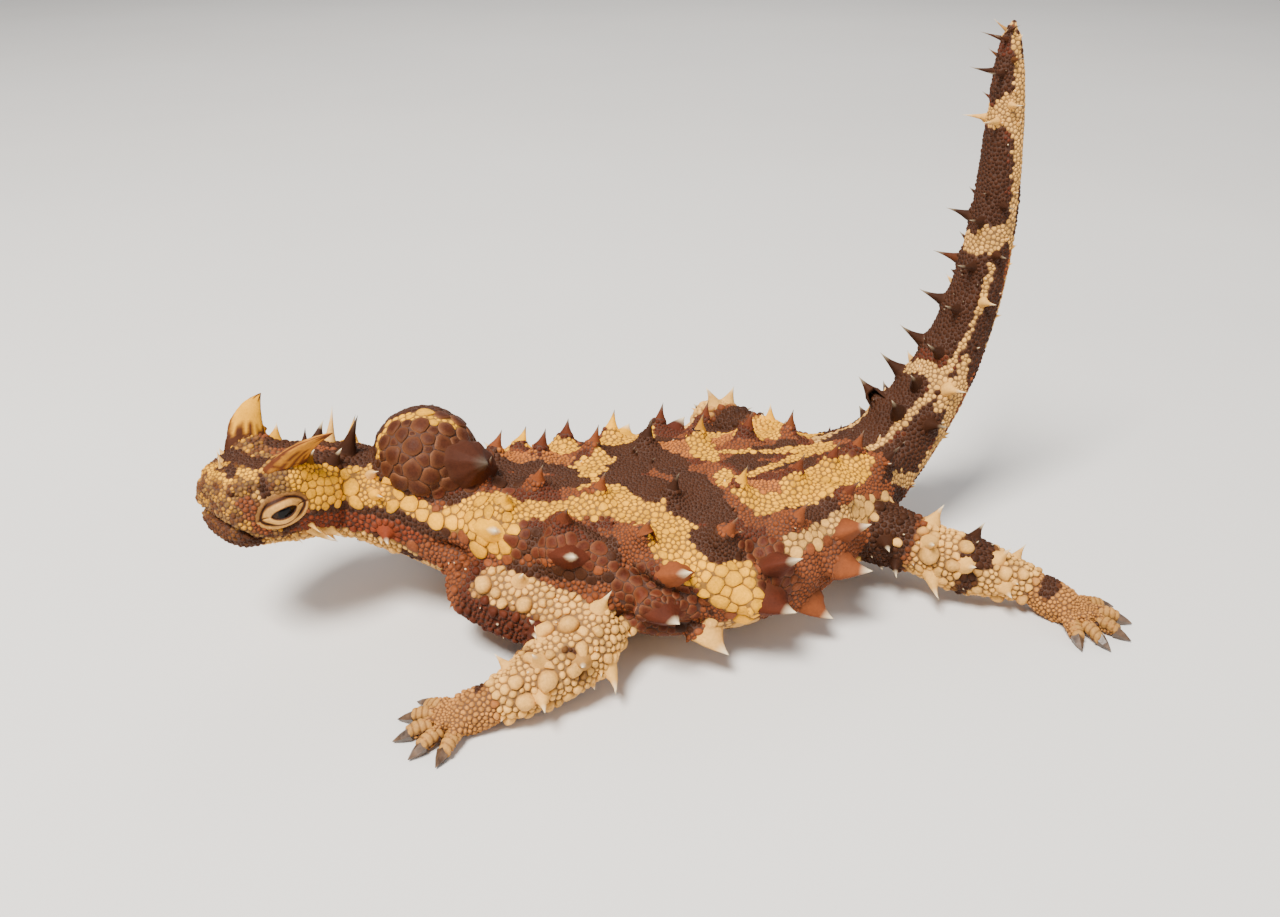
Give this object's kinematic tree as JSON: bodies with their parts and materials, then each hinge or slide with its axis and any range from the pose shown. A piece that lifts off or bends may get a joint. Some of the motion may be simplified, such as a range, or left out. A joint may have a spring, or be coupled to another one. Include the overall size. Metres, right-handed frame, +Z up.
{
  "type": "thorny devil lizard",
  "caption": "Still life-size model of a thorny devil in mid walk: broad spiny trunk, knobbed nape, two brow horns, head turned to its left and tail held straight up.",
  "frame": {"origin": "centre of the bounding box at floor level, under the trunk", "axes": "+X runs from the head to the tail, along the longest side of the box; +Z is up; the animal's left side is towards -Y"},
  "size_m": [0.1194, 0.077, 0.0747],
  "materials": {
    "hide": "granular scaly hide, matt, yellow and red-brown patches",
    "dark_hide": "rough dark brown hide with large cracked plates",
    "leg_hide": "cream hide of round domed scales",
    "horn": "satin horn with fine ridges",
    "claw": "satin dark horn",
    "eye": "wet dark eye"
  },
  "bodies": {
    "root": {"head": "hide", "lower_jaw": "hide", "neck": "hide", "trunk": "hide", "nape_knob": "dark_hide", "tail_base": "dark_hide", "tail_middle": "dark_hide", "tail_tip": "dark_hide", "fore_left_upper": "leg_hide", "fore_left_lower": "leg_hide", "fore_left_foot": "leg_hide", "fore_right_upper": "leg_hide", "fore_right_lower": "leg_hide", "fore_right_foot": "leg_hide", "hind_left_upper": "leg_hide", "hind_left_lower": "leg_hide", "hind_left_foot": "leg_hide", "hind_right_upper": "leg_hide", "hind_right_lower": "leg_hide", "hind_right_foot": "leg_hide", "fore_left_claw_1": "claw", "fore_left_claw_2": "claw", "fore_left_claw_3": "claw", "fore_left_claw_4": "claw", "fore_left_claw_5": "claw", "fore_right_claw_1": "claw", "fore_right_claw_2": "claw", "fore_right_claw_3": "claw", "fore_right_claw_4": "claw", "fore_right_claw_5": "claw", "hind_left_claw_1": "claw", "hind_left_claw_2": "claw", "hind_left_claw_3": "claw", "hind_left_claw_4": "claw", "hind_left_claw_5": "claw", "hind_right_claw_1": "claw", "hind_right_claw_2": "claw", "hind_right_claw_3": "claw", "hind_right_claw_4": "claw", "hind_right_claw_5": "claw", "eye_left": "eye", "eye_right": "eye", "horn_left": "horn", "horn_right": "horn"}
  },
  "joints": []
}
